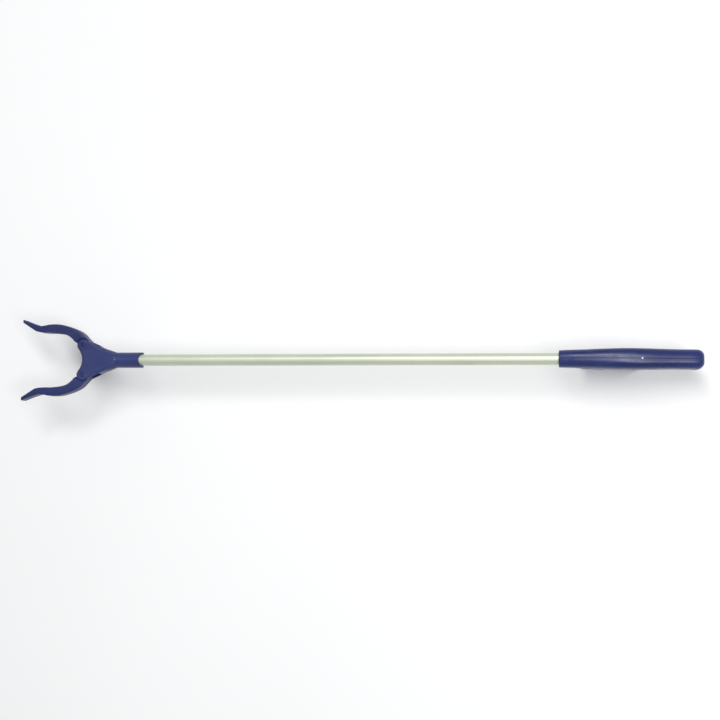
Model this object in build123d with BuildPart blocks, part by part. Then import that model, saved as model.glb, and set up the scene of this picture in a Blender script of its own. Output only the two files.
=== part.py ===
from build123d import *

import math
import os

# Reacher grabber, millimetres.
# The tube lies along X with its middle at the origin: the jaws are at -X and the handle at +X.
# The jaws open in the XY plane, and the trigger hangs below the handle, at -Z.

# ---- overall sizes ----
TUBE_VISIBLE = 508.0  # bare tube between the head's socket and the handle
TUBE_R = 7.0
TUBE_WALL = 1.0
HANDLE_LENGTH = 163.5
HANDLE_WALL = 2.2

# ---- clearances ----
RUNNING = 0.05  # radial, pin in a turning bore
SLIDING = 0.15  # radial, pin in a curved slot or rod in a guide
SEAT = 0.05  # radial, tube in its sockets
LAYER = 0.4  # between plates that slide past each other

# ---- head: places are given ahead of the jaw pivots and beside the tube's axis ----
PIVOT_BACK = 72.3  # from the socket's mouth to the jaw pivots
PIVOT_SIDE = 18.3
PIVOT_PIN_R = 2.0
PIVOT_HEAD_R = 2.3
PIVOT_RECESS_R = 3.1
PIVOT_RECESS_DEPTH = 1.0
LOBE_R = 8.2  # the head's rounded corners round the pivots
LOBE_LEAVES_DEG = 30.0  # where the flank leaves the lobe, from straight outwards
HEAD_FRONT = 1.5  # front edge on the axis, ahead of the pivots
HEAD_HALF = 9.4  # half the head's thickness, and the socket's outer radius
HEAD_WALL = 2.2
FRONT_WALL = 1.3  # between the jaws, ahead of the crosshead
HEAD_PLATE = 2.5
HEAD_EDGE_R = 4.0
FLANK_POINTS = ((-13.2, 21.4), (-23.8, 15.3), (-34.0, 11.9))
NECK_BEHIND = 47.0  # where the flanks have become the round socket
FACET_APEX_BEHIND = 42.0  # the flat top face narrows to a point here
FACET_SLOPE = 0.42
SOCKET_EARS = 3.0  # how far the socket's sides run past its mouth
SOCKET_SCOOP_R = 15.0
SOCKET_DEPTH = 34.2  # tube inside the socket
CAVITY_BEHIND = 33.0
WINDOW_BEHIND = 21.0  # side windows that the jaw heels move in
WINDOW_SIDE = 9.5
HEAD_SCREW_AT = (-26.0, 9.2)
SCREW_R = 1.5
SCREW_HEAD_R = 2.8
SCREW_HEAD_HEIGHT = 1.8
RIVET_BEHIND = 42.1
RIVET_R = 1.0
RIVET_HEAD_R = 1.25
RIVET_HEAD_HEIGHT = 0.45
RIVET_REACH = 5.3  # inner end of the rivet, from the axis
RIVET_TAPER_DEG = 25.0
HEAD_FRONT_SPAN = 14.0  # the head's round body starts this far ahead of the pivots
SCREW_BOSS_WALL = 1.1
SCREW_TIP_GAP = 1.0  # from the screw's hole end to the plate's inner face
SCREW_TIP_SHORT = 1.0  # the screw ends this far before its hole does
SCREW_RECESS_GAP = 0.2  # round and under a screw's head
CROSS_LENGTH = 2.6  # the screw heads' cross recess
CROSS_WIDTH = 0.6
CROSS_DEPTH = 1.0
PIN_HEAD_SUNK = 0.1  # pivot pin heads lie this far under the plates
PIN_HEAD_EDGE_R = 0.4
WINDOW_FRONT = 12.0  # the side windows start this far ahead of the pivots

# ---- jaws ----
CLOSE_DEG = 32.0
TIP_GAP = 0.3  # between the closed tips
TIP_FLAT = (63.5, 82.0)  # closed tips meet along this stretch, ahead of the pivots
JAW_HALF = 8.8
ROOT_GAP = 0.3  # above and below the jaw root, inside the head
HUB_R = 5.8
HEEL_R = 8.8
LOBE_GAP = 0.65
JAW_INNER = ((56.7, 34.6), (45.9, 34.0), (29.7, 32.7), (18.9, 29.2), (11.5, 23.2))
JAW_INNER_END = (4.6, 14.8)
JAW_OUTER = ((2.8, 33.6), (13.5, 39.1), (24.3, 42.7), (35.0, 44.4), (46.5, 44.0))
JAW_NOTCH = (56.7, 42.4)
JAW_TIP_OUTER = (79.8, 50.3)
JAW_TIP_BULGE = (68.0, 45.8)
JAW_EDGE_R = 2.6
TOOTH_COUNT = 13
TOOTH_SIZE = 1.9
TOOTH_SPAN = (0.30, 0.80)  # along the inner curve, from the tip's flat to the root

# ---- drive ----
ROD_TRAVEL = 5.6
ROD_R = 1.5
DRIVE_PIN_R = 1.5
DRIVE_PIN_BEHIND = 4.2
DRIVE_PIN_SIDE = 10.0
LEVER_HALF = 2.4
LEVER_WALL = 2.1
LEVER_ROOT_R = 4.0
CROSSHEAD_HALF = 5.4
CROSSHEAD_ARM = 3.0  # round each drive pin
CROSSHEAD_STEM_HALF = 6.0
CROSSHEAD_BLOCK_BEHIND = 9.8
CROSSHEAD_END_BEHIND = 20.0
NUT_FLATS = 5.5
NUT_HEIGHT = 2.4
SPRING_R = 4.0
SPRING_WIRE_R = 0.5
SPRING_TURNS = 6.5
SPRING_ROOM = 0.8  # radial, round the spring in the head
SPRING_BUSH_ROOM = 0.3  # radial, round the spring in the bush
NUT_ROOM = 0.05  # round the nut's flats
NUT_SUNK = 0.2
ROD_END_OUT = 0.8  # the rod's end, behind the rear nut
ROD_CHAMFER = 0.3
FRONT_BUSH_LENGTH = 15.0
FRONT_BUSH_SEAT = 11.0  # the spring's seat, behind the tube's front end
REAR_BUSH_LENGTH = 10.0
BUSH_FLANGE = 1.5

# ---- handle: stations from its front end: along, half width, top, bottom ----
STATIONS = (
    (0.0, 9.9, 10.2, -10.2),
    (18.0, 10.4, 12.0, -12.0),
    (40.0, 11.0, 13.0, -17.5),
    (61.0, 11.7, 13.2, -21.0),
    (83.0, 12.0, 11.8, -22.8),
    (108.0, 11.6, 7.6, -24.4),
    (135.0, 11.2, 2.0, -27.0),
    (HANDLE_LENGTH, 10.9, -4.6, -30.6),
)
HANDLE_CORNER_R = 8.8
CAVITY_CORNER_R = 5.0
HANDLE_END_R = 8.0
TUBE_IN_HANDLE = 18.0
HANDLE_PIN_ALONG = 6.0
HANDLE_PIN_UP = 5.4
HANDLE_PIN_R = 1.25
HANDLE_PIN_HALF = 7.6
HANDLE_SCREWS = ((64.0, -4.0), (108.0, -9.0), (139.0, -11.5))
HANDLE_SCREW_HEAD_SIDE = 8.6  # where the screw's head seats, from the seam
HANDLE_SCREW_END_SIDE = -6.5
BOSS_R = 3.9
HANG_HOLE_AT = (152.0, -15.5)
HANG_HOLE_R = 3.0
HANG_BOSS_R = 5.6
HANG_FACE_HALF = 9.6
HANG_FACE_R = 4.4
TRIGGER_OPENING = (20.6, 60.0)  # along the handle's underside
TRIGGER_OPENING_HALF = 7.2
SEAM_MARK_ALONG = 94.0
SEAM_MARK_R = 1.2
SEAM_MARK_SUNK = 1.2
SEAM_MARK_HEIGHT = 1.6
HANDLE_FRONT_EDGE_R = 0.6
BUSH_ROOM = 0.4  # behind the rear bush's flange
SCREW_SIDE_GAP = 0.25  # round a screw's head in the handle
THROUGH = 40.0  # longer than any hole that is cut right through

# ---- trigger ----
TRIGGER_PIVOT = (30.0, 5.0)  # along the handle, above the tube's axis
TRIGGER_HUB_R = 3.6
TRIGGER_PIN_R = 2.0
TRIGGER_PIN_HALF = 9.0
CLEVIS_PIN_DOWN = 8.4  # below the tube's axis
CLEVIS_PIN_R = 1.5
CLEVIS_HALF = 3.2
CLEVIS_FRONT = 5.6
CLEVIS_BACK = 4.8
CLEVIS_TOP = 2.6
CLEVIS_FOOT = 2.6
CHEEK_HALF = 6.6
FORK_DOWN = -16.0
CHEEK_STEP = 1.0  # from the handle's underside to the wide part of the squeezed trigger
TRIGGER_FRONT = ((25.5, -12.0), (22.8, -30.0))
TRIGGER_NOSE = (28.0, -42.5)
TRIGGER_UNDER = (  # three finger hollows with crests between them
    (37.0, -42.9),
    (46.0, -47.8),
    (56.0, -50.6),
    (66.0, -57.8),
    (75.5, -60.9),
)
TRIGGER_TAIL = ((84.5, -67.0), (89.5, -63.5), (86.0, -57.0))
TRIGGER_TOP = ((66.0, -46.5), (48.0, -34.0), (38.5, -20.0), (35.5, -8.0))
TRIGGER_WIDE_HALF = 9.2
TRIGGER_TAIL_HALF = 5.4
TRIGGER_WIDE_TO = 50.0
TRIGGER_EDGE_R = 2.4
GRIP_BELOW = 18.0  # the grip's rounded edges lie lower than this
GRIP_EDGE_LEAST = 4.0
TRIGGER_NARROW_FROM = 15.0  # along the handle, ahead of the trigger's front
FORK_TOP = 20.0  # the room for the clevis reaches above the hub
FORK_SPAN = 60.0
CLEVIS_EDGE_R = 1.2
CLEVIS_PIN_SHORT = 0.2  # the clevis pin ends this far inside the cheeks

# ---- places that follow ----
MOUTH_X = -TUBE_VISIBLE / 2
PIVOT_X = MOUTH_X - PIVOT_BACK
HANDLE_X = TUBE_VISIBLE / 2
TUBE_FRONT_X = MOUTH_X - SOCKET_DEPTH
TUBE_REAR_X = HANDLE_X + TUBE_IN_HANDLE
TUBE_BORE_R = TUBE_R - TUBE_WALL
SEAT_R = TUBE_R + SEAT
SPRING_SEAT_X = TUBE_FRONT_X + FRONT_BUSH_SEAT
CAVITY_HALF = HEAD_HALF - HEAD_PLATE
ROOT_HALF = CAVITY_HALF - ROOT_GAP
CROSSHEAD_REAR_X = PIVOT_X + CROSSHEAD_END_BEHIND
CLEVIS_ARM = TRIGGER_PIVOT[1] + CLEVIS_PIN_DOWN
TRIGGER_DEG = 2 * math.degrees(math.atan(ROD_TRAVEL / 2 / CLEVIS_ARM))
TRIGGER_X = HANDLE_X + TRIGGER_PIVOT[0]
CLEVIS_PIN_X = TRIGGER_X - ROD_TRAVEL / 2


def at_head(point):
    """The XY place of a point given ahead of the jaw pivots and beside the axis."""
    return (PIVOT_X - point[0], point[1])


def at_handle(point):
    """The local place, on the XZ plane, of a point given along and above the handle."""
    return (HANDLE_X + point[0], point[1])


def turned(point, centre, degrees):
    """A point turned about a centre, anticlockwise positive."""
    angle = math.radians(degrees)
    dx = point[0] - centre[0]
    dy = point[1] - centre[1]
    return (
        centre[0] + dx * math.cos(angle) - dy * math.sin(angle),
        centre[1] + dx * math.sin(angle) + dy * math.cos(angle),
    )


def polar(centre, radius, degrees):
    """The point at a radius and an angle from a centre."""
    angle = math.radians(degrees)
    return (centre[0] + radius * math.cos(angle), centre[1] + radius * math.sin(angle))


def across(x, z=0.0, y=0.0):
    """A plane whose normal is +Y, with its local axes along +X and -Z."""
    return Plane(origin=(x, y, z), x_dir=(1, 0, 0), z_dir=(0, 1, 0))


def along(x, z=0.0):
    """A plane whose normal is +X, with its local axes along +Y and +Z."""
    return Plane(origin=(x, 0, z), x_dir=(0, 1, 0), z_dir=(1, 0, 0))


def save(part, name):
    part.label = name
    export_step(part, f"parts/{name}.step")


PIVOT = at_head((0, PIVOT_SIDE))
PIVOTS = (PIVOT, (PIVOT[0], -PIVOT[1]))
HEAD_SCREWS = [at_head((HEAD_SCREW_AT[0], side * HEAD_SCREW_AT[1])) for side in (1, -1)]


# ======================================================================
# head shells
# ======================================================================
def mouth_circle():
    """How far ahead the head's concave front has its centre, and its radius: it touches both lobes."""
    reach = LOBE_R - HEAD_FRONT
    centre = (PIVOT_SIDE**2 - reach**2) / (2 * reach)
    return centre, centre - HEAD_FRONT


def flank_side(ahead):
    """How far beside the axis the head's flank is, at a place behind the pivots."""
    for before, after in zip(FLANK_POINTS, FLANK_POINTS[1:]):
        if after[0] <= ahead <= before[0]:
            share = (ahead - before[0]) / (after[0] - before[0])
            return before[1] + share * (after[1] - before[1])
    return HEAD_HALF


def head_outline():
    """The head's outline seen from above, at its parting plane."""
    centre_ahead, front_r = mouth_circle()
    centre = at_head((centre_ahead, 0))
    to_centre = math.degrees(math.atan2(centre[1] - PIVOT[1], centre[0] - PIVOT[0]))
    touch = polar(PIVOT, LOBE_R, to_centre)
    leave = polar(PIVOT, LOBE_R, 90 - LOBE_LEAVES_DEG)
    flank_end = at_head((-NECK_BEHIND, HEAD_HALF))
    end_x = MOUTH_X + SOCKET_EARS
    leaving = (math.cos(math.radians(LOBE_LEAVES_DEG)), -math.sin(math.radians(LOBE_LEAVES_DEG)))
    with BuildSketch() as outline:
        with BuildLine():
            RadiusArc(at_head((HEAD_FRONT, 0)), touch, -front_r)
            ThreePointArc(touch, polar(PIVOT, LOBE_R, 140), leave)
            Spline(
                leave,
                *[at_head(point) for point in FLANK_POINTS],
                flank_end,
                tangents=(leaving, (1, 0)),
            )
            Line(flank_end, (end_x, HEAD_HALF))
            Line((end_x, HEAD_HALF), (end_x, 0))
            Line((end_x, 0), at_head((HEAD_FRONT, 0)))
        make_face()
        mirror(about=Plane.XZ)
    return outline.sketch


def head_cavity():
    """The room for the jaw roots and the drive, seen from above."""
    centre_ahead, front_r = mouth_circle()
    corner_side = WINDOW_SIDE + 1
    corner_ahead = centre_ahead - math.sqrt((front_r + FRONT_WALL) ** 2 - corner_side**2)
    half = [
        (corner_ahead, corner_side),
        (-WINDOW_BEHIND, corner_side),
        (-WINDOW_BEHIND, flank_side(-WINDOW_BEHIND) - HEAD_WALL),
        (-CAVITY_BEHIND, flank_side(-CAVITY_BEHIND) - HEAD_WALL),
    ]
    other_half = [(ahead, -side) for ahead, side in reversed(half)]
    with BuildSketch() as room:
        with BuildLine():
            Polyline(*[at_head(point) for point in half + other_half])
            ThreePointArc(at_head(other_half[-1]), at_head((HEAD_FRONT - FRONT_WALL, 0)), at_head(half[0]))
        make_face()
        for side in (1, -1):
            middle = (PIVOT_X + (WINDOW_BEHIND - WINDOW_FRONT) / 2, side * (WINDOW_SIDE + THROUGH / 2))
            with Locations(middle):
                Rectangle(WINDOW_BEHIND + WINDOW_FRONT, THROUGH)
    return room.sketch


def make_head():
    with BuildPart() as head:
        with BuildSketch():
            add(head_outline())
        extrude(amount=HEAD_HALF, both=True)
        rims = head.faces().filter_by(Axis.Z).edges()
        fillet(rims.filter_by(lambda edge: edge.center().X < MOUTH_X), radius=HEAD_EDGE_R)
        # The slab turns into a round socket behind the top face's apex.
        flare = FACET_APEX_BEHIND + HEAD_FRONT_SPAN
        with BuildSketch(Plane.XY):
            with BuildLine():
                Polyline(
                    at_head((HEAD_FRONT_SPAN, 0)),
                    at_head((HEAD_FRONT_SPAN, HEAD_HALF + FACET_SLOPE * flare)),
                    at_head((-FACET_APEX_BEHIND, HEAD_HALF)),
                    (MOUTH_X + SOCKET_EARS, HEAD_HALF),
                    (MOUTH_X + SOCKET_EARS, 0),
                    close=True,
                )
            make_face()
        revolve(axis=Axis.X, mode=Mode.INTERSECT)
        with BuildSketch():
            add(head_cavity())
        extrude(amount=CAVITY_HALF, both=True, mode=Mode.SUBTRACT)
        # tube socket, then the passage for the rod and its spring
        with BuildSketch(along(TUBE_FRONT_X)):
            Circle(SEAT_R)
        extrude(amount=SOCKET_DEPTH + 2 * SOCKET_EARS, mode=Mode.SUBTRACT)
        with BuildSketch(along(PIVOT_X + CAVITY_BEHIND - 1)):
            Circle(SPRING_R + SPRING_WIRE_R + SPRING_ROOM)
        extrude(amount=TUBE_FRONT_X - PIVOT_X - CAVITY_BEHIND + 1, mode=Mode.SUBTRACT)
        # scooped mouth
        with BuildSketch():
            with Locations((MOUTH_X + SOCKET_SCOOP_R, 0)):
                Circle(SOCKET_SCOOP_R)
        extrude(amount=2 * HEAD_HALF, both=True, mode=Mode.SUBTRACT)
        # bosses for the two shell screws
        with BuildSketch():
            with Locations(*HEAD_SCREWS):
                Circle(SCREW_R + SCREW_BOSS_WALL)
        extrude(amount=CAVITY_HALF, both=True)
        with BuildSketch(Plane.XY.offset(-HEAD_HALF)):
            with Locations(*HEAD_SCREWS):
                Circle(SCREW_R)
        extrude(amount=HEAD_HALF + CAVITY_HALF - SCREW_TIP_GAP, mode=Mode.SUBTRACT)
        with BuildSketch(Plane.XY.offset(-HEAD_HALF)):
            with Locations(*HEAD_SCREWS):
                Circle(SCREW_HEAD_R + SCREW_RECESS_GAP)
        extrude(amount=SCREW_HEAD_HEIGHT + SCREW_RECESS_GAP, mode=Mode.SUBTRACT)
        # pivot holes with a shallow recess round each pin head
        with BuildSketch():
            with Locations(*PIVOTS):
                Circle(PIVOT_PIN_R)
        extrude(amount=HEAD_HALF, both=True, mode=Mode.SUBTRACT)
        for side in (1, -1):
            with BuildSketch(Plane.XY.offset(side * HEAD_HALF)):
                with Locations(*PIVOTS):
                    Circle(PIVOT_RECESS_R)
            extrude(amount=-side * PIVOT_RECESS_DEPTH, mode=Mode.SUBTRACT)
        # rivet holes through the socket's wall
        with BuildSketch():
            with Locations(at_head((-RIVET_BEHIND, 0))):
                Circle(RIVET_R)
        extrude(amount=HEAD_HALF, both=True, mode=Mode.SUBTRACT)
    with BuildPart() as top:
        add(head.part)
        split(bisect_by=Plane.XY, keep=Keep.TOP)
    save(top.part, "head_shell_top")
    with BuildPart() as bottom:
        add(head.part)
        split(bisect_by=Plane.XY, keep=Keep.BOTTOM)
    save(bottom.part, "head_shell_bottom")


def make_head_fasteners():
    with BuildPart() as pins:
        seat = HEAD_HALF - PIVOT_RECESS_DEPTH
        with BuildSketch():
            with Locations(*PIVOTS):
                Circle(PIVOT_PIN_R)
        extrude(amount=seat, both=True)
        for side in (1, -1):
            with BuildSketch(Plane.XY.offset(side * seat)):
                with Locations(*PIVOTS):
                    Circle(PIVOT_HEAD_R)
            extrude(amount=side * (PIVOT_RECESS_DEPTH - PIN_HEAD_SUNK))
        for end in (0, -1):
            rims = pins.faces().filter_by(Axis.Z).group_by(Axis.Z)[end].edges()
            fillet(rims, radius=PIN_HEAD_EDGE_R)
    save(pins.part, "jaw_pivot_pins")

    with BuildPart() as rivets:
        for side in (1, -1):
            with BuildSketch(Plane.XY.offset(side * RIVET_REACH)):
                with Locations(at_head((-RIVET_BEHIND, 0))):
                    Circle(RIVET_R)
            extrude(amount=side * (HEAD_HALF - RIVET_REACH))
        # only the upper one has a head: the underside stays flat
        with BuildSketch(Plane.XY.offset(HEAD_HALF)):
            with Locations(at_head((-RIVET_BEHIND, 0))):
                Circle(RIVET_HEAD_R)
        extrude(amount=RIVET_HEAD_HEIGHT, taper=RIVET_TAPER_DEG)
    save(rivets.part, "head_rivets")

    with BuildPart() as screws:
        seat = -HEAD_HALF + SCREW_HEAD_HEIGHT + SCREW_RECESS_GAP
        with BuildSketch(Plane.XY.offset(seat)):
            with Locations(*HEAD_SCREWS):
                Circle(SCREW_R)
        extrude(amount=CAVITY_HALF - SCREW_TIP_GAP - SCREW_TIP_SHORT - seat)
        with BuildSketch(Plane.XY.offset(seat)):
            with Locations(*HEAD_SCREWS):
                Circle(SCREW_HEAD_R)
        extrude(amount=-SCREW_HEAD_HEIGHT)
        with BuildSketch(Plane.XY.offset(seat - SCREW_HEAD_HEIGHT)):
            with Locations(*HEAD_SCREWS):
                Rectangle(CROSS_LENGTH, CROSS_WIDTH)
                Rectangle(CROSS_WIDTH, CROSS_LENGTH)
        extrude(amount=CROSS_DEPTH, mode=Mode.SUBTRACT)
    save(screws.part, "head_screws")


# ======================================================================
# jaws
# ======================================================================
def cam_point(degrees):
    """Where the drive pin lies in the jaw, once the jaw has closed by this much."""
    travel = ROD_TRAVEL * degrees / CLOSE_DEG
    pin = at_head((-DRIVE_PIN_BEHIND - travel, DRIVE_PIN_SIDE))
    return turned(pin, PIVOT, -degrees)


def opened(ahead):
    """A point of the closed tip's flat, as it lies with the jaw open."""
    closed = at_head((ahead, TIP_GAP / 2))
    return turned(closed, PIVOT, -CLOSE_DEG)


def starts_or_ends_at(edge, place):
    """Whether a level edge has an end over a place in the XY plane."""
    ends = [edge @ share for share in (0, 1)]
    return min(math.hypot(end.X - place[0], end.Y - place[1]) for end in ends) < 0.1


def jaw_outline():
    """The whole jaw seen from above, without its lever, and its inner curve."""
    flat_root = opened(TIP_FLAT[0])
    flat_tip = opened(TIP_FLAT[1])
    flat_way = (flat_root[0] - flat_tip[0], flat_root[1] - flat_tip[1])
    heel_top = polar(PIVOT, HEEL_R, 90 - 40)
    heel_rear = polar(PIVOT, HEEL_R, 0)
    tip = at_head(JAW_TIP_OUTER)
    notch = at_head(JAW_NOTCH)
    with BuildSketch() as sketch:
        with BuildLine():
            inner = Spline(
                flat_root,
                *[at_head(point) for point in JAW_INNER],
                at_head(JAW_INNER_END),
                tangents=(flat_way, (0.45, -1)),
            )
            Line(at_head(JAW_INNER_END), PIVOT)
            Line(PIVOT, heel_rear)
            ThreePointArc(heel_rear, polar(PIVOT, HEEL_R, 25), heel_top)
            Spline(
                heel_top,
                *[at_head(point) for point in JAW_OUTER],
                notch,
                tangents=((-0.72, 0.7), (-1, -0.10)),
            )
            ThreePointArc(notch, at_head(JAW_TIP_BULGE), tip)
            Line(tip, flat_tip)
            Line(flat_tip, flat_root)
        make_face()
        first, last = TOOTH_SPAN
        for n in range(TOOTH_COUNT):
            place = first + (last - first) * n / (TOOTH_COUNT - 1)
            middle = inner @ place
            slope = math.degrees(math.atan2((inner % place).Y, (inner % place).X))
            with Locations((middle.X, middle.Y)):
                Rectangle(TOOTH_SIZE, TOOTH_SIZE, rotation=slope + 45, mode=Mode.SUBTRACT)
    return sketch.sketch


def jaw_lever():
    """The lever inside the head, with the curved slot that the drive pin runs in."""
    first = cam_point(0)
    middle = cam_point(CLOSE_DEG / 2)
    last = cam_point(CLOSE_DEG)
    end_r = DRIVE_PIN_R + SLIDING + LEVER_WALL
    with BuildSketch() as lever:
        with Locations(PIVOT):
            Circle(LEVER_ROOT_R)
        with Locations(first, last):
            Circle(end_r)
        make_hull()
        with BuildLine(mode=Mode.PRIVATE) as path:
            ThreePointArc(first, middle, last)
        SlotArc(path.wires()[0], 2 * (DRIVE_PIN_R + SLIDING), mode=Mode.SUBTRACT)
    return lever.sketch


def make_jaws():
    with BuildPart() as jaw:
        with BuildSketch():
            add(jaw_outline())
        extrude(amount=JAW_HALF, both=True)
        # the two outer curves meet at the notch
        notch = at_head(JAW_NOTCH)
        rims = jaw.faces().filter_by(Axis.Z).edges()
        outer = [edge for edge in rims if starts_or_ends_at(edge, notch)]
        fillet(outer, radius=JAW_EDGE_R)
        # the root is thinner, to turn between the head's plates
        for side in (1, -1):
            with BuildSketch(Plane.XY.offset(side * ROOT_HALF)):
                with Locations(PIVOT):
                    Circle(LOBE_R + LOBE_GAP)
            extrude(amount=side * JAW_HALF, mode=Mode.SUBTRACT)
        with BuildSketch():
            with Locations(PIVOT):
                Circle(HUB_R)
        extrude(amount=ROOT_HALF, both=True)
        with BuildSketch():
            add(jaw_lever())
        extrude(amount=LEVER_HALF, both=True)
        with BuildSketch():
            with Locations(PIVOT):
                Circle(PIVOT_PIN_R + RUNNING)
        extrude(amount=JAW_HALF, both=True, mode=Mode.SUBTRACT)
    save(jaw.part, "jaw_right")
    with BuildPart() as other:
        add(jaw.part)
        mirror(about=Plane.XZ, mode=Mode.REPLACE)
    save(other.part, "jaw_left")


# ======================================================================
# drive: crosshead, rod, spring, bushes
# ======================================================================
def make_crosshead():
    front = DRIVE_PIN_BEHIND - CROSSHEAD_ARM
    pins = [at_head((-DRIVE_PIN_BEHIND, side * DRIVE_PIN_SIDE)) for side in (1, -1)]
    with BuildPart() as crosshead:
        with BuildSketch():
            with Locations(at_head((-DRIVE_PIN_BEHIND, 0))):
                SlotCenterToCenter(2 * DRIVE_PIN_SIDE, 2 * CROSSHEAD_ARM, rotation=90)
            with Locations(at_head((-(front + CROSSHEAD_END_BEHIND) / 2, 0))):
                Rectangle(CROSSHEAD_END_BEHIND - front, 2 * CROSSHEAD_STEM_HALF)
        extrude(amount=CROSSHEAD_HALF, both=True)
        # the jaw levers turn in this gap
        with BuildSketch():
            with Locations(at_head((-CROSSHEAD_BLOCK_BEHIND / 2, 0))):
                Rectangle(CROSSHEAD_BLOCK_BEHIND, 4 * DRIVE_PIN_SIDE)
        extrude(amount=LEVER_HALF + LAYER, both=True, mode=Mode.SUBTRACT)
        with BuildSketch():
            with Locations(*pins):
                Circle(DRIVE_PIN_R)
        extrude(amount=CROSSHEAD_HALF, both=True, mode=Mode.SUBTRACT)
        with BuildSketch(along(PIVOT_X + CROSSHEAD_BLOCK_BEHIND)):
            Circle(ROD_R)
        extrude(amount=CROSSHEAD_END_BEHIND, mode=Mode.SUBTRACT)
        with BuildSketch(along(PIVOT_X + CROSSHEAD_BLOCK_BEHIND)):
            RegularPolygon(NUT_FLATS / 2 + NUT_ROOM, 6, major_radius=False)
        extrude(amount=NUT_HEIGHT + NUT_SUNK, mode=Mode.SUBTRACT)
    save(crosshead.part, "crosshead")

    with BuildPart() as drive_pins:
        with BuildSketch():
            with Locations(*pins):
                Circle(DRIVE_PIN_R)
        extrude(amount=CROSSHEAD_HALF, both=True)
    save(drive_pins.part, "drive_pins")


def nut_at(x, name):
    with BuildPart() as nut:
        with BuildSketch(along(x)):
            RegularPolygon(NUT_FLATS / 2, 6, major_radius=False)
            Circle(ROD_R, mode=Mode.SUBTRACT)
        extrude(amount=NUT_HEIGHT)
    save(nut.part, name)


def make_rod():
    start = PIVOT_X + CROSSHEAD_BLOCK_BEHIND + NUT_SUNK
    end = CLEVIS_PIN_X + CLEVIS_BACK + NUT_HEIGHT + ROD_END_OUT
    with BuildPart() as rod:
        with BuildSketch(along(start)):
            Circle(ROD_R)
        extrude(amount=end - start)
        chamfer(rod.faces().filter_by(Axis.X).edges(), length=ROD_CHAMFER)
    save(rod.part, "pull_rod")
    nut_at(start, "rod_front_nut")
    nut_at(CLEVIS_PIN_X + CLEVIS_BACK, "rod_rear_nut")


def make_spring():
    first = CROSSHEAD_REAR_X + SPRING_WIRE_R
    height = SPRING_SEAT_X - SPRING_WIRE_R - first
    with BuildPart() as spring:
        with BuildLine() as path:
            Helix(height / SPRING_TURNS, height, SPRING_R, center=(first, 0, 0), direction=(1, 0, 0))
        with BuildSketch(Plane(origin=path.line @ 0, z_dir=path.line % 0)):
            Circle(SPRING_WIRE_R)
        sweep(path=path.line, is_frenet=True)
    save(spring.part, "return_spring")


def make_bushes():
    with BuildPart() as front:
        with BuildSketch(along(TUBE_FRONT_X)):
            Circle(TUBE_BORE_R)
            Circle(ROD_R + SLIDING, mode=Mode.SUBTRACT)
        extrude(amount=FRONT_BUSH_LENGTH)
        with BuildSketch(along(TUBE_FRONT_X)):
            Circle(SPRING_R + SPRING_WIRE_R + SPRING_BUSH_ROOM)
        extrude(amount=FRONT_BUSH_SEAT, mode=Mode.SUBTRACT)
        with BuildSketch():
            with Locations(at_head((-RIVET_BEHIND, 0))):
                Circle(RIVET_R)
        extrude(amount=TUBE_R, both=True, mode=Mode.SUBTRACT)
    save(front.part, "front_bush")

    with BuildPart() as rear:
        with BuildSketch(along(TUBE_REAR_X - REAR_BUSH_LENGTH)):
            Circle(TUBE_BORE_R)
        extrude(amount=REAR_BUSH_LENGTH)
        with BuildSketch(along(TUBE_REAR_X)):
            Circle(TUBE_R)
        extrude(amount=BUSH_FLANGE)
        with BuildSketch(along(TUBE_REAR_X - REAR_BUSH_LENGTH)):
            Circle(ROD_R + SLIDING)
        extrude(amount=REAR_BUSH_LENGTH + BUSH_FLANGE, mode=Mode.SUBTRACT)
    save(rear.part, "rear_bush")


def make_tube():
    with BuildPart() as tube:
        with BuildSketch(along(TUBE_FRONT_X)):
            Circle(TUBE_R)
            Circle(TUBE_BORE_R, mode=Mode.SUBTRACT)
        extrude(amount=TUBE_REAR_X - TUBE_FRONT_X)
        with BuildSketch():
            with Locations(at_head((-RIVET_BEHIND, 0))):
                Circle(RIVET_R)
        extrude(amount=2 * TUBE_R, both=True, mode=Mode.SUBTRACT)
        with BuildSketch(across(HANDLE_X + HANDLE_PIN_ALONG, HANDLE_PIN_UP)):
            Circle(HANDLE_PIN_R)
        extrude(amount=2 * TUBE_R, both=True, mode=Mode.SUBTRACT)
    save(tube.part, "tube")


# ======================================================================
# handle
# ======================================================================
def station_at(place):
    """Half width, top and bottom of the handle at a place between two stations."""
    for before, after in zip(STATIONS, STATIONS[1:]):
        if before[0] <= place <= after[0]:
            share = (place - before[0]) / (after[0] - before[0])
            return [a + share * (b - a) for a, b in zip(before[1:], after[1:])]
    return STATIONS[-1][1:]


def handle_loft(places, inset, corner_r):
    """The handle's outer form, or its inner one when it is inset by the wall."""
    with BuildPart() as form:
        for place in places:
            half, top, bottom = station_at(place)
            with BuildSketch(along(HANDLE_X + place, (top + bottom) / 2)):
                RectangleRounded(2 * (half - inset), top - bottom - 2 * inset, corner_r)
        loft()
    return form.part


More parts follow.
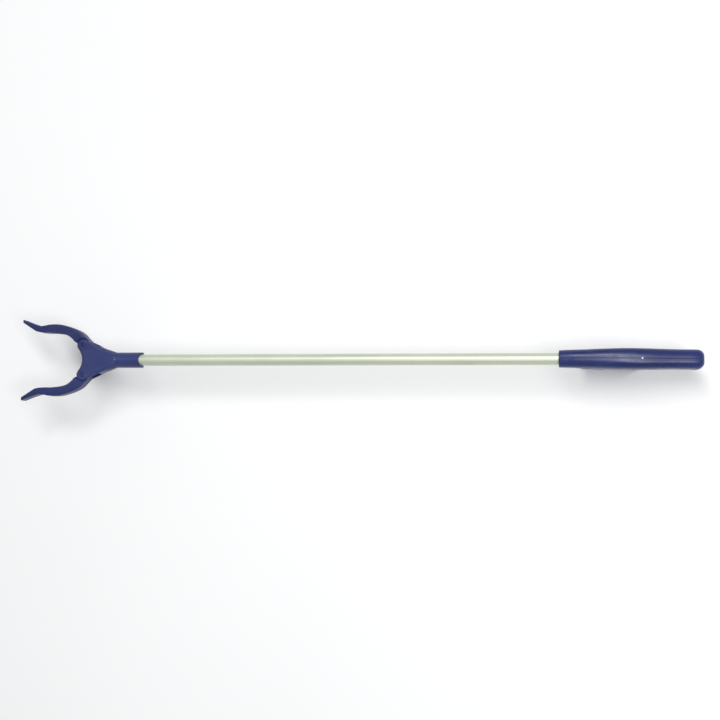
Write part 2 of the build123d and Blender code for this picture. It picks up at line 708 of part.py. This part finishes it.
def make_handle():
    outer_places = [station[0] for station in STATIONS]
    cavity_start = TUBE_IN_HANDLE + BUSH_FLANGE + BUSH_ROOM
    cavity_end = HANDLE_LENGTH - HANDLE_WALL
    inner_places = [cavity_start] + outer_places[2:-1] + [cavity_end]
    with BuildPart() as handle:
        add(handle_loft(outer_places, 0, HANDLE_CORNER_R))
        fillet(handle.faces().sort_by(Axis.X)[-1].edges(), radius=HANDLE_END_R)
        fillet(handle.faces().sort_by(Axis.X)[0].edges(), radius=HANDLE_FRONT_EDGE_R)
        add(handle_loft(inner_places, HANDLE_WALL, CAVITY_CORNER_R), mode=Mode.SUBTRACT)
        with BuildSketch(along(HANDLE_X)):
            Circle(SEAT_R)
        extrude(amount=cavity_start, mode=Mode.SUBTRACT)
        # screw bosses and the hanging hole's boss run from wall to wall
        bosses = [(place, BOSS_R) for place in HANDLE_SCREWS]
        bosses.append((HANG_HOLE_AT, HANG_BOSS_R))
        for place, boss_r in bosses:
            with BuildSketch(across(HANDLE_X + place[0], place[1])):
                Circle(boss_r)
            extrude(amount=station_at(place[0])[0] - HANDLE_WALL / 2, both=True)
        # opening for the trigger in the underside
        with BuildSketch():
            with Locations((HANDLE_X + sum(TRIGGER_OPENING) / 2, 0)):
                SlotOverall(TRIGGER_OPENING[1] - TRIGGER_OPENING[0], 2 * TRIGGER_OPENING_HALF)
                with Locations((-TRIGGER_OPENING_HALF / 2, 0)):
                    Rectangle(
                        TRIGGER_OPENING[1] - TRIGGER_OPENING[0] - TRIGGER_OPENING_HALF,
                        2 * TRIGGER_OPENING_HALF,
                    )
        extrude(amount=-THROUGH, mode=Mode.SUBTRACT)
        # holes across the handle
        with BuildSketch(across(TRIGGER_X, TRIGGER_PIVOT[1])):
            Circle(TRIGGER_PIN_R)
        extrude(amount=TRIGGER_PIN_HALF, both=True, mode=Mode.SUBTRACT)
        with BuildSketch(across(HANDLE_X + HANDLE_PIN_ALONG, HANDLE_PIN_UP)):
            Circle(HANDLE_PIN_R)
        extrude(amount=HANDLE_PIN_HALF, both=True, mode=Mode.SUBTRACT)
        for place in HANDLE_SCREWS:
            with BuildSketch(across(HANDLE_X + place[0], place[1], HANDLE_SCREW_END_SIDE)):
                Circle(SCREW_R)
            extrude(amount=HANDLE_SCREW_HEAD_SIDE - HANDLE_SCREW_END_SIDE, mode=Mode.SUBTRACT)
            with BuildSketch(across(HANDLE_X + place[0], place[1], HANDLE_SCREW_HEAD_SIDE)):
                Circle(SCREW_HEAD_R + SCREW_SIDE_GAP)
            extrude(amount=THROUGH, mode=Mode.SUBTRACT)
        with BuildSketch(across(HANDLE_X + HANG_HOLE_AT[0], HANG_HOLE_AT[1])):
            Circle(HANG_HOLE_R)
        extrude(amount=THROUGH, both=True, mode=Mode.SUBTRACT)
        for side in (1, -1):
            face_plane = across(HANDLE_X + HANG_HOLE_AT[0], HANG_HOLE_AT[1], side * HANG_FACE_HALF)
            with BuildSketch(face_plane):
                Circle(HANG_FACE_R)
            extrude(amount=side * THROUGH, mode=Mode.SUBTRACT)
        # small round mark on the spine
        mark_top = station_at(SEAM_MARK_ALONG)[1]
        with BuildSketch(Plane.XY.offset(mark_top - SEAM_MARK_SUNK)):
            with Locations((HANDLE_X + SEAM_MARK_ALONG, 0)):
                Circle(SEAM_MARK_R)
        extrude(amount=SEAM_MARK_HEIGHT)
    with BuildPart() as left:
        add(handle.part)
        split(bisect_by=Plane.XZ, keep=Keep.TOP)
    with BuildPart() as right:
        add(handle.part)
        split(bisect_by=Plane.XZ, keep=Keep.BOTTOM)
    shells = sorted((left.part, right.part), key=lambda shell: shell.center().Y)
    save(shells[0], "handle_shell_left")
    save(shells[1], "handle_shell_right")


def make_handle_fasteners():
    with BuildPart() as screws:
        for place in HANDLE_SCREWS:
            with BuildSketch(across(HANDLE_X + place[0], place[1], HANDLE_SCREW_END_SIDE)):
                Circle(SCREW_R)
            extrude(amount=HANDLE_SCREW_HEAD_SIDE - HANDLE_SCREW_END_SIDE)
            with BuildSketch(across(HANDLE_X + place[0], place[1], HANDLE_SCREW_HEAD_SIDE)):
                Circle(SCREW_HEAD_R)
            extrude(amount=SCREW_HEAD_HEIGHT)
            head_top = HANDLE_SCREW_HEAD_SIDE + SCREW_HEAD_HEIGHT
            with BuildSketch(across(HANDLE_X + place[0], place[1], head_top)):
                Rectangle(CROSS_LENGTH, CROSS_WIDTH)
                Rectangle(CROSS_WIDTH, CROSS_LENGTH)
            extrude(amount=-CROSS_DEPTH, mode=Mode.SUBTRACT)
    save(screws.part, "handle_screws")

    with BuildPart() as pivot_pin:
        with BuildSketch(across(TRIGGER_X, TRIGGER_PIVOT[1])):
            Circle(TRIGGER_PIN_R)
        extrude(amount=TRIGGER_PIN_HALF, both=True)
    save(pivot_pin.part, "trigger_pivot_pin")

    with BuildPart() as lock_pin:
        with BuildSketch(across(HANDLE_X + HANDLE_PIN_ALONG, HANDLE_PIN_UP)):
            Circle(HANDLE_PIN_R)
        extrude(amount=HANDLE_PIN_HALF, both=True)
    save(lock_pin.part, "tube_lock_pin")


# ======================================================================
# trigger and the clevis that it pulls
# ======================================================================
def trigger_side():
    """The trigger's outline seen from the side, on the XZ plane."""
    hub = at_handle(TRIGGER_PIVOT)
    hub_front = (hub[0] - TRIGGER_HUB_R, hub[1])
    hub_back = (hub[0] + TRIGGER_HUB_R, hub[1])
    nose = at_handle(TRIGGER_NOSE)
    tail_low, tail_end, tail_high = [at_handle(point) for point in TRIGGER_TAIL]
    with BuildSketch(Plane.XZ) as side:
        with BuildLine():
            ThreePointArc(hub_back, (hub[0], hub[1] + TRIGGER_HUB_R), hub_front)
            Spline(
                hub_front,
                *[at_handle(point) for point in TRIGGER_FRONT],
                nose,
                tangents=((0, -1), (1, -0.25)),
            )
            Spline(
                nose,
                *[at_handle(point) for point in TRIGGER_UNDER],
                tail_low,
                tangents=((1, -0.25), (1, -0.55)),
            )
            ThreePointArc(tail_low, tail_end, tail_high)
            Spline(
                tail_high,
                *[at_handle(point) for point in TRIGGER_TOP],
                hub_back,
                tangents=((-1, 0.5), (0, 1)),
            )
        make_face()
    return side.sketch


def make_trigger():
    hub = at_handle(TRIGGER_PIVOT)
    slot_r = CLEVIS_PIN_R + SLIDING
    with BuildPart() as trigger:
        with BuildSketch(Plane.XZ):
            add(trigger_side())
        extrude(amount=TRIGGER_WIDE_HALF, both=True)
        # narrower towards the tail
        front_x = HANDLE_X + TRIGGER_NARROW_FROM
        wide_x = HANDLE_X + TRIGGER_WIDE_TO
        tail_x = at_handle(TRIGGER_TAIL[1])[0] + 1
        with BuildSketch():
            with BuildLine():
                Polyline(
                    (front_x, TRIGGER_WIDE_HALF),
                    (wide_x, TRIGGER_WIDE_HALF),
                    (tail_x, TRIGGER_TAIL_HALF),
                    (tail_x, -TRIGGER_TAIL_HALF),
                    (wide_x, -TRIGGER_WIDE_HALF),
                    (front_x, -TRIGGER_WIDE_HALF),
                    close=True,
                )
            make_face()
        extrude(amount=2 * THROUGH, both=True, mode=Mode.INTERSECT)
        # the long edges of the grip, on both sides
        grip_edges = [
            edge
            for edge in trigger.edges()
            if abs(edge.center().Y) > TRIGGER_TAIL_HALF / 2
            and edge.bounding_box().size.X > GRIP_EDGE_LEAST
            and edge.center().Z < -GRIP_BELOW
        ]
        fillet(grip_edges, radius=TRIGGER_EDGE_R)
        # whatever enters the handle is narrow enough for it, hanging or squeezed
        under = [(place, bottom - CHEEK_STEP) for place, _, _, bottom in STATIONS[:5]]
        inside = [*under, (under[-1][0], FORK_TOP), (under[0][0], FORK_TOP)]
        squeezed = [turned(at_handle(point), hub, -TRIGGER_DEG) for point in inside]
        for side in (1, -1):
            with BuildSketch(Plane.XZ.offset(side * CHEEK_HALF)):
                with BuildLine():
                    Polyline(*squeezed, close=True)
                make_face()
                with Locations((TRIGGER_X, (FORK_TOP + FORK_DOWN) / 2)):
                    Rectangle(FORK_SPAN, FORK_TOP - FORK_DOWN)
            extrude(amount=side * THROUGH, mode=Mode.SUBTRACT)
        # the clevis slides between the cheeks
        with BuildSketch(across(TRIGGER_X)):
            with Locations((0, -(FORK_TOP + FORK_DOWN) / 2)):
                Rectangle(FORK_SPAN, FORK_TOP - FORK_DOWN)
        extrude(amount=CLEVIS_HALF + LAYER, both=True, mode=Mode.SUBTRACT)
        with BuildSketch(Plane.XZ):
            with Locations(hub):
                Circle(TRIGGER_PIN_R + RUNNING)
        extrude(amount=THROUGH, both=True, mode=Mode.SUBTRACT)
        # slot for the clevis pin, which moves straight while the trigger turns
        path_ends = []
        for share in (0, 0.5, 1):
            pin = (CLEVIS_PIN_X + share * ROD_TRAVEL, -CLEVIS_PIN_DOWN)
            path_ends.append(turned(pin, hub, -share * TRIGGER_DEG))
        with BuildSketch(Plane.XZ):
            for pin in path_ends:
                with Locations(pin):
                    Circle(slot_r)
            make_hull()
        extrude(amount=THROUGH, both=True, mode=Mode.SUBTRACT)
    save(trigger.part, "trigger")


def make_clevis():
    front = CLEVIS_PIN_X - CLEVIS_FRONT
    length = CLEVIS_FRONT + CLEVIS_BACK
    bottom = -CLEVIS_PIN_DOWN - CLEVIS_FOOT
    with BuildPart() as clevis:
        with BuildSketch(along(front)):
            with Locations((0, (CLEVIS_TOP + bottom) / 2)):
                Rectangle(2 * CLEVIS_HALF, CLEVIS_TOP - bottom)
        extrude(amount=length)
        fillet(clevis.edges().filter_by(Axis.Y), radius=CLEVIS_EDGE_R)
        with BuildSketch(along(front)):
            Circle(ROD_R)
        extrude(amount=length, mode=Mode.SUBTRACT)
        with BuildSketch(across(CLEVIS_PIN_X, -CLEVIS_PIN_DOWN)):
            Circle(CLEVIS_PIN_R)
        extrude(amount=CLEVIS_HALF, both=True, mode=Mode.SUBTRACT)
    save(clevis.part, "rod_clevis")

    with BuildPart() as pin:
        with BuildSketch(across(CLEVIS_PIN_X, -CLEVIS_PIN_DOWN)):
            Circle(CLEVIS_PIN_R)
        extrude(amount=CHEEK_HALF - CLEVIS_PIN_SHORT, both=True)
    save(pin.part, "clevis_pin")


os.makedirs("parts", exist_ok=True)
make_head()
make_head_fasteners()
make_jaws()
make_crosshead()
make_rod()
make_spring()
make_bushes()
make_tube()
make_handle()
make_handle_fasteners()
make_trigger()
make_clevis()
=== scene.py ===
import math

import bpy
from mathutils import Matrix, Vector


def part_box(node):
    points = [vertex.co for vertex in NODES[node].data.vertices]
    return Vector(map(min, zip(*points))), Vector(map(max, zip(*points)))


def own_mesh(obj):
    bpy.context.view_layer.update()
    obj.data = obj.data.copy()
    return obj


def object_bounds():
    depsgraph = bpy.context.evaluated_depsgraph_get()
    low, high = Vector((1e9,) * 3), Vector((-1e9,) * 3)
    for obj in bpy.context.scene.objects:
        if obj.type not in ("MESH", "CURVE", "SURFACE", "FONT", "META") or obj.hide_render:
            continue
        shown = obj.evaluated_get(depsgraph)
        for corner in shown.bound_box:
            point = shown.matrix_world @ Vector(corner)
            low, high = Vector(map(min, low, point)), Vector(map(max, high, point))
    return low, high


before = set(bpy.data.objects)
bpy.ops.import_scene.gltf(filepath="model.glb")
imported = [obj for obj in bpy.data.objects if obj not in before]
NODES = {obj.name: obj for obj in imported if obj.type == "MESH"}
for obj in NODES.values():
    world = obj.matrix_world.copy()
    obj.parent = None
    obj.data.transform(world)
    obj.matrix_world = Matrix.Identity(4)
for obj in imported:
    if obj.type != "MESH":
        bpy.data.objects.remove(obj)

MM = 0.001
CAD_BOX = [list(corner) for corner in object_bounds()]

# ---- colours, linear ----
BLUE_HEAD = (0.028, 0.039, 0.142)
BLUE_JAW = (0.017, 0.025, 0.108)
BLUE_HANDLE = (0.018, 0.028, 0.122)
BLUE_WORN = (0.11, 0.13, 0.27)
# painted glint: the pale colour painted where a small pip catches the light
GLINT_PAINT = (0.70, 0.73, 0.85)
CHAMPAGNE = (0.66, 0.71, 0.56)
STEEL = (0.60, 0.60, 0.62)
ZINC = (0.62, 0.63, 0.66)
RIVET_GREY = (0.30, 0.33, 0.44)
SPRING_STEEL = (0.42, 0.42, 0.45)
NATURAL = (0.72, 0.71, 0.64)
CHARCOAL = (0.035, 0.036, 0.040)

# ---- places on the object ----
GLINT_ALONG = 94.0 * MM  # painted glint: a pale disc over the small pip on the handle's spine, from its front end
GLINT_R = 1.15 * MM
BOSS_RING_BACK = 7.0 * MM  # behind the jaws' pivots
BOSS_RING_R = 3.0 * MM

# ---- surface detail ----
BLUE_BEVEL = 0.8 * MM
METAL_BEVEL = 0.25 * MM
PLAIN_BEVEL = 0.4 * MM
GRAIN_SIZE = 0.45 * MM
GRAIN_DEPTH = 0.05 * MM
WAVE_DEPTH = 0.60 * MM
SEAM_HALF = 0.28 * MM
SEAM_DEPTH = 0.18 * MM
RING_HALF = 0.5 * MM
RING_DEPTH = 0.12 * MM
BLUE_SPECULAR = 0.34
BLUE_COAT = 0.05
BLUE_COAT_ROUGHNESS = 0.25

# ---- camera and studio ----
CAMERA_DISTANCE = 1.5443
CAMERA_ELEVATION = 85.5
CAMERA_TURN = 10.85  # towards the handle
CAMERA_ROLL = -0.70
CAMERA_AIM = Vector((0.0202, -0.0006, 0.0))
CAMERA_LENS = 65.0
SENSOR = 36.0
FLOOR_SIZE = 30.0
FLOOR_ROUGHNESS = 0.75
FLOOR_TONES = ((0.90, 0.90, 0.90), (0.93, 0.93, 0.93))
SKY_COLOUR = (0.95, 0.97, 1.0, 1.0)
SKY_STRENGTH = 0.28
LIGHT_PLACE = (0.65, 0.42, 2.8)
LIGHT_AIM = (0.1, 0, 0)
LIGHT_SIZE = (3.6, 0.75)
LIGHT_POWER = 95


# ======================================================================
# node helpers
# ======================================================================
def shader_of(name, roughness, metallic=0.0):
    """A new material with its node tree and its main shader."""
    material = bpy.data.materials.new(name)
    material.use_nodes = True
    shader = material.node_tree.nodes["Principled BSDF"]
    shader.inputs["Roughness"].default_value = roughness
    shader.inputs["Metallic"].default_value = metallic
    return material, material.node_tree, shader


def add(tree, kind, inputs=None, **settings):
    """A node with its settings, and its inputs set to values or linked to sockets."""
    node = tree.nodes.new(kind)
    for key, value in settings.items():
        setattr(node, key, value)
    for key, value in (inputs or {}).items():
        if isinstance(value, bpy.types.NodeSocket):
            tree.links.new(value, node.inputs[key])
        else:
            node.inputs[key].default_value = value
    return node


def math_node(tree, operation, first, second=0.0, clamp=False):
    inputs = {0: first, 1: second}
    return add(tree, "ShaderNodeMath", inputs, operation=operation, use_clamp=clamp).outputs[0]


def mix_colour(tree, share, first, second):
    """One colour over another by a share."""
    node = tree.nodes.new("ShaderNodeMix")
    node.data_type = "RGBA"
    sockets = [node.inputs[0], node.inputs[6], node.inputs[7]]
    for socket, value in zip(sockets, (share, first, second)):
        if isinstance(value, bpy.types.NodeSocket):
            tree.links.new(value, socket)
        elif isinstance(value, float):
            socket.default_value = value
        else:
            socket.default_value = (*value, 1.0)
    return node.outputs[2]


def place_of(tree):
    """The object's own coordinates, which are those of the frame, in metres."""
    return add(tree, "ShaderNodeTexCoord").outputs["Object"]


def noise(tree, place, size, detail=3.0, stretch=(1.0, 1.0, 1.0), roughness=0.55):
    """Noise whose features are about this size in metres, times the stretch along each axis."""
    scale = [1.0 / (size * factor) for factor in stretch]
    mapped = add(tree, "ShaderNodeMapping", {"Vector": place, "Scale": scale})
    return add(
        tree,
        "ShaderNodeTexNoise",
        {"Vector": mapped.outputs[0], "Scale": 1.0, "Detail": detail, "Roughness": roughness},
    ).outputs["Fac"]


def band(tree, value, low, high, to_low=0.0, to_high=1.0):
    """A smooth step from one value to another between two limits."""
    return add(
        tree,
        "ShaderNodeMapRange",
        {"Value": value, "From Min": low, "From Max": high, "To Min": to_low, "To Max": to_high},
        interpolation_type="SMOOTHSTEP",
    ).outputs[0]


def bump(tree, height, distance, strength=1.0, normal=None):
    inputs = {"Height": height, "Distance": distance, "Strength": strength}
    if normal is not None:
        inputs["Normal"] = normal
    return add(tree, "ShaderNodeBump", inputs).outputs[0]


def line_at(tree, place, axis, half_width):
    """1 on the plane through the origin across this axis, falling to 0 at the half width."""
    parts = add(tree, "ShaderNodeSeparateXYZ", {0: place})
    away = math_node(tree, "ABSOLUTE", parts.outputs[axis])
    return band(tree, away, 0.4 * half_width, half_width, 1.0, 0.0)


def away_from(tree, place, centre):
    """The distance in the XY plane from a place there."""
    inputs = {0: place, 1: (1.0, 1.0, 0.0)}
    flat = add(tree, "ShaderNodeVectorMath", inputs, operation="MULTIPLY").outputs[0]
    inputs = {0: flat, 1: (centre[0], centre[1], 0.0)}
    return add(tree, "ShaderNodeVectorMath", inputs, operation="DISTANCE").outputs["Value"]


def ring_at(tree, place, centre, radius, half_width):
    """1 on an upright ring round a place in the XY plane, falling to 0 at the half width."""
    off = math_node(tree, "SUBTRACT", away_from(tree, place, centre), radius)
    off = math_node(tree, "ABSOLUTE", off)
    return band(tree, off, 0.3 * half_width, half_width, 1.0, 0.0)


def disc_at(tree, place, centre, radius):
    """1 inside an upright disc above the XY plane, with a narrow soft rim."""
    inside = band(tree, away_from(tree, place, centre), 0.85 * radius, radius, 1.0, 0.0)
    height = add(tree, "ShaderNodeSeparateXYZ", {0: place}).outputs["Z"]
    return math_node(tree, "MULTIPLY", inside, math_node(tree, "GREATER_THAN", height, 0.0))


# ======================================================================
# materials
# ======================================================================
def moulded_blue(name, colour, roughness, seam_axis=None, rings=(), painted_glints=(), wear=1.0):
    """Blue moulded plastic with spark-eroded grain, flow waves, handling marks and worn edges,
    and painted glints where a small pip catches the light.
    """
    material, tree, shader = shader_of(name, roughness)
    place = place_of(tree)
    tone = noise(tree, place, 0.030, detail=4.0, stretch=(2.5, 1.0, 1.0))
    deep = tuple(0.84 * part for part in colour)
    pale = tuple(1.20 * part + 0.004 for part in colour)
    surface = mix_colour(tree, band(tree, tone, 0.25, 0.75), deep, pale)

    # fine scratches lie mostly along the tool
    scratch = noise(tree, place, 0.0011, detail=2.0, stretch=(14.0, 1.0, 1.0))
    patch = noise(tree, place, 0.024, detail=2.0)
    scratch = band(tree, scratch, 0.60, 0.72)
    patch = band(tree, patch, 0.48, 0.68)
    scuff = math_node(tree, "MULTIPLY", scratch, patch)
    surface = mix_colour(tree, math_node(tree, "MULTIPLY", scuff, 0.34), surface, BLUE_WORN)

    # edges: where the rounded normal leaves the face's own
    rounded = add(tree, "ShaderNodeBevel", {"Radius": BLUE_BEVEL}, samples=4).outputs[0]
    true = add(tree, "ShaderNodeNewGeometry").outputs["Normal"]
    inputs = {0: rounded, 1: true}
    facing = add(tree, "ShaderNodeVectorMath", inputs, operation="DOT_PRODUCT").outputs["Value"]
    edge = band(tree, facing, 0.84, 0.985, 1.0, 0.0)
    broken = band(tree, noise(tree, place, 0.0035, detail=3.0), 0.42, 0.62)
    worn = math_node(tree, "MULTIPLY", math_node(tree, "MULTIPLY", edge, broken), 0.30 * wear)
    surface = mix_colour(tree, worn, surface, BLUE_WORN)

    grain = noise(tree, place, GRAIN_SIZE, detail=2.0)
    waves = noise(tree, place, 0.022, detail=1.0, stretch=(2.0, 1.0, 1.0))
    normal = bump(tree, waves, WAVE_DEPTH, 0.12, rounded)
    normal = bump(tree, grain, GRAIN_DEPTH, 0.80, normal)
    if seam_axis is not None:
        seam = line_at(tree, place, seam_axis, SEAM_HALF)
        surface = mix_colour(tree, math_node(tree, "MULTIPLY", seam, 0.45), surface, CHARCOAL)
        normal = bump(tree, math_node(tree, "SUBTRACT", 1.0, seam), SEAM_DEPTH, 0.8, normal)
    for centre, radius in rings:
        ring = ring_at(tree, place, centre, radius, RING_HALF)
        surface = mix_colour(tree, math_node(tree, "MULTIPLY", ring, 0.35), surface, deep)
        normal = bump(tree, math_node(tree, "SUBTRACT", 1.0, ring), RING_DEPTH, 0.7, normal)
    # painted glints: pale discs on top faces that stand in for light caught by a small pip
    for centre, radius in painted_glints:
        glint_disc = disc_at(tree, place, centre, radius)
        surface = mix_colour(tree, glint_disc, surface, GLINT_PAINT)
    tree.links.new(surface, shader.inputs["Base Color"])
    tree.links.new(normal, shader.inputs["Normal"])
    smear = noise(tree, place, 0.014, detail=3.0)
    smear = band(tree, smear, 0.3, 0.7, roughness - 0.06, roughness + 0.07)
    rough = math_node(tree, "ADD", smear, math_node(tree, "MULTIPLY", scuff, 0.18), clamp=True)
    tree.links.new(rough, shader.inputs["Roughness"])
    shader.inputs["Specular IOR Level"].default_value = BLUE_SPECULAR
    shader.inputs["Coat Weight"].default_value = BLUE_COAT
    shader.inputs["Coat Roughness"].default_value = BLUE_COAT_ROUGHNESS
    return material


def anodised_tube():
    """Champagne anodised aluminium with faint drawing lines and a soft cloudiness."""
    material, tree, shader = shader_of("anodised_tube", 0.46, metallic=0.45)
    place = place_of(tree)
    lines = noise(tree, place, 0.00022, detail=3.0, stretch=(260.0, 1.0, 1.0))
    cloud = noise(tree, place, 0.030, detail=3.0, stretch=(2.0, 1.0, 1.0))
    dull = tuple(0.92 * part for part in CHAMPAGNE)
    surface = mix_colour(tree, band(tree, cloud, 0.3, 0.7), dull, CHAMPAGNE)
    streaks = band(tree, lines, 0.56, 0.80, 0.0, 0.22)
    surface = mix_colour(tree, streaks, surface, (0.56, 0.58, 0.50))
    scratch = noise(tree, place, 0.0007, detail=2.0, stretch=(9.0, 1.0, 1.0))
    patch = noise(tree, place, 0.035, detail=2.0)
    scratch = band(tree, scratch, 0.66, 0.76)
    patch = band(tree, patch, 0.55, 0.70)
    marks = math_node(tree, "MULTIPLY", scratch, patch)
    faint = math_node(tree, "MULTIPLY", marks, 0.5)
    surface = mix_colour(tree, faint, surface, (0.92, 0.93, 0.90))
    tree.links.new(surface, shader.inputs["Base Color"])
    rough = band(tree, lines, 0.2, 0.8, 0.40, 0.54)
    rough = math_node(tree, "ADD", rough, math_node(tree, "MULTIPLY", marks, 0.12))
    tree.links.new(rough, shader.inputs["Roughness"])
    normal = bump(tree, lines, 0.000012, 0.5)
    tree.links.new(normal, shader.inputs["Normal"])
    return material


def plain_metal(name, colour, roughness, size=0.0004, stretch=(1.0, 1.0, 1.0), tarnish=0.25):
    """Metal with fine working marks, and tarnish in soft patches."""
    material, tree, shader = shader_of(name, roughness, metallic=1.0)
    place = place_of(tree)
    fine = noise(tree, place, size, detail=3.0, stretch=stretch)
    patches = noise(tree, place, 0.0035, detail=4.0)
    dull = tuple(0.62 * part for part in colour)
    surface = mix_colour(tree, band(tree, patches, 0.45, 0.75, 0.0, tarnish), colour, dull)
    tree.links.new(surface, shader.inputs["Base Color"])
    rounded = add(tree, "ShaderNodeBevel", {"Radius": METAL_BEVEL}, samples=4).outputs[0]
    tree.links.new(bump(tree, fine, 0.00001, 0.6, rounded), shader.inputs["Normal"])
    rough = band(tree, fine, 0.25, 0.75, roughness - 0.07, roughness + 0.10)
    tree.links.new(rough, shader.inputs["Roughness"])
    return material


def moulded_plain(name, colour, roughness):
    """Unpainted engineering plastic with a matt skin and faint flow clouds."""
    material, tree, shader = shader_of(name, roughness)
    place = place_of(tree)
    cloud = noise(tree, place, 0.006, detail=4.0)
    dull = tuple(0.82 * part for part in colour)
    surface = mix_colour(tree, band(tree, cloud, 0.3, 0.7), dull, colour)
    tree.links.new(surface, shader.inputs["Base Color"])
    rounded = add(tree, "ShaderNodeBevel", {"Radius": PLAIN_BEVEL}, samples=4).outputs[0]
    normal = bump(tree, noise(tree, place, 0.0003), 0.00003, 0.5, rounded)
    tree.links.new(normal, shader.inputs["Normal"])
    rough = band(tree, cloud, 0.2, 0.8, roughness - 0.05, roughness + 0.08)
    tree.links.new(rough, shader.inputs["Roughness"])
    shader.inputs["Subsurface Weight"].default_value = 0.05
    shader.inputs["Subsurface Scale"].default_value = 0.001
    return material


def dress(material, *names):
    """Gives CAD nodes their finish."""
    for name in names:
        data = NODES[name].data
        if not data.materials:
            data.materials.append(material)
        for slot in NODES[name].material_slots:
            slot.material = material


def dress_all():
    low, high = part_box("jaw_pivot_pins")
    pin_r = (high.x - low.x) / 2
    pivot_x = (high.x + low.x) / 2
    pivot_y = high.y - pin_r
    # the drive's bosses show through the head's plates as faint rings
    ring_x = pivot_x + BOSS_RING_BACK
    rings = [((ring_x, side * pivot_y / 2), BOSS_RING_R) for side in (1, -1)]
    dress(
        moulded_blue("head_blue", BLUE_HEAD, 0.40, seam_axis="Z", rings=rings),
        "head_shell_top", "head_shell_bottom",
    )
    dress(moulded_blue("jaw_blue", BLUE_JAW, 0.43, wear=1.3), "jaw_left", "jaw_right")
    dress(moulded_blue("pin_blue", BLUE_JAW, 0.36, wear=0.8), "jaw_pivot_pins")
    handle_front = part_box("handle_shell_left")[0].x
    # painted glint on the small pip on the handle's spine
    glint_spot = ((handle_front + GLINT_ALONG, 0.0), GLINT_R)
    dress(
        moulded_blue("handle_blue", BLUE_HANDLE, 0.31, seam_axis="Y", painted_glints=[glint_spot]),
        "handle_shell_left", "handle_shell_right",
    )
    dress(moulded_blue("trigger_blue", BLUE_HANDLE, 0.31, wear=1.2), "trigger")
    dress(anodised_tube(), "tube")
    dress(plain_metal("rivet_steel", RIVET_GREY, 0.34), "head_rivets")
    dress(plain_metal("screw_zinc", ZINC, 0.30, tarnish=0.4), "head_screws", "handle_screws")
    dress(plain_metal("nut_zinc", ZINC, 0.32, tarnish=0.4), "rod_front_nut", "rod_rear_nut")
    dress(
        plain_metal("pin_steel", STEEL, 0.22),
        "drive_pins", "clevis_pin", "trigger_pivot_pin", "tube_lock_pin",
    )
    drawn = plain_metal("rod_steel", STEEL, 0.30, size=0.0002, stretch=(120.0, 1.0, 1.0))
    dress(drawn, "pull_rod")
    dress(plain_metal("spring_steel", SPRING_STEEL, 0.27), "return_spring")
    dress(moulded_plain("bush_natural", NATURAL, 0.50), "front_bush", "rear_bush")
    dress(moulded_plain("drive_charcoal", CHARCOAL, 0.48), "crosshead", "rod_clevis")


# ======================================================================
# motion, camera, floor and lights
# ======================================================================
def spring_follows():
    """Gives the spring a mesh of its own."""
    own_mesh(NODES["return_spring"])


def make_camera():
    turn = math.radians(CAMERA_TURN)
    lean = math.radians(90 - CAMERA_ELEVATION)
    roll = math.radians(CAMERA_ROLL)
    level = math.cos(lean)
    back = Vector((math.sin(turn) * level, -math.sin(lean), math.cos(turn) * level))
    right = Vector((math.cos(turn), 0, -math.sin(turn)))
    up = back.cross(right)
    rolled_right = right * math.cos(roll) - up * math.sin(roll)
    rolled_up = right * math.sin(roll) + up * math.cos(roll)
    data = bpy.data.cameras.new("camera")
    data.lens = CAMERA_LENS
    data.sensor_width = SENSOR
    camera = bpy.data.objects.new("camera", data)
    bpy.context.scene.collection.objects.link(camera)
    turned = Matrix((rolled_right, rolled_up, back)).transposed().to_4x4()
    camera.matrix_world = Matrix.Translation(CAMERA_AIM + back * CAMERA_DISTANCE) @ turned
    bpy.context.scene.camera = camera


def make_floor(height):
    material, tree, shader = shader_of("floor_pale", FLOOR_ROUGHNESS)
    place = place_of(tree)
    tone = band(tree, noise(tree, place, 0.8, detail=3.0), 0.2, 0.8)
    tree.links.new(mix_colour(tree, tone, *FLOOR_TONES), shader.inputs["Base Color"])
    half = FLOOR_SIZE / 2
    mesh = bpy.data.meshes.new("floor")
    signs = ((-1, -1), (1, -1), (1, 1), (-1, 1))
    corners = [(x * half, y * half, height) for x, y in signs]
    mesh.from_pydata(corners, [], [(0, 1, 2, 3)])
    mesh.materials.append(material)
    floor = bpy.data.objects.new("floor", mesh)
    bpy.context.scene.collection.objects.link(floor)


def area_light(name, place, aim, size, power):
    """A soft rectangular light that faces its aim."""
    data = bpy.data.lights.new(name, "AREA")
    data.shape = "RECTANGLE"
    data.size, data.size_y = size
    data.energy = power
    light = bpy.data.objects.new(name, data)
    bpy.context.scene.collection.objects.link(light)
    facing = (Vector(aim) - Vector(place)).to_track_quat("-Z", "Y")
    light.matrix_world = Matrix.Translation(place) @ facing.to_matrix().to_4x4()


def make_lights():
    world = bpy.data.worlds.new("studio")
    world.use_nodes = True
    backdrop = world.node_tree.nodes["Background"]
    backdrop.inputs["Color"].default_value = SKY_COLOUR
    backdrop.inputs["Strength"].default_value = SKY_STRENGTH
    bpy.context.scene.world = world
    bpy.context.scene.view_settings.view_transform = "Standard"
    area_light("overhead", LIGHT_PLACE, LIGHT_AIM, LIGHT_SIZE, LIGHT_POWER)


dress_all()
spring_follows()
make_camera()
make_floor(CAD_BOX[0][2])
make_lights()
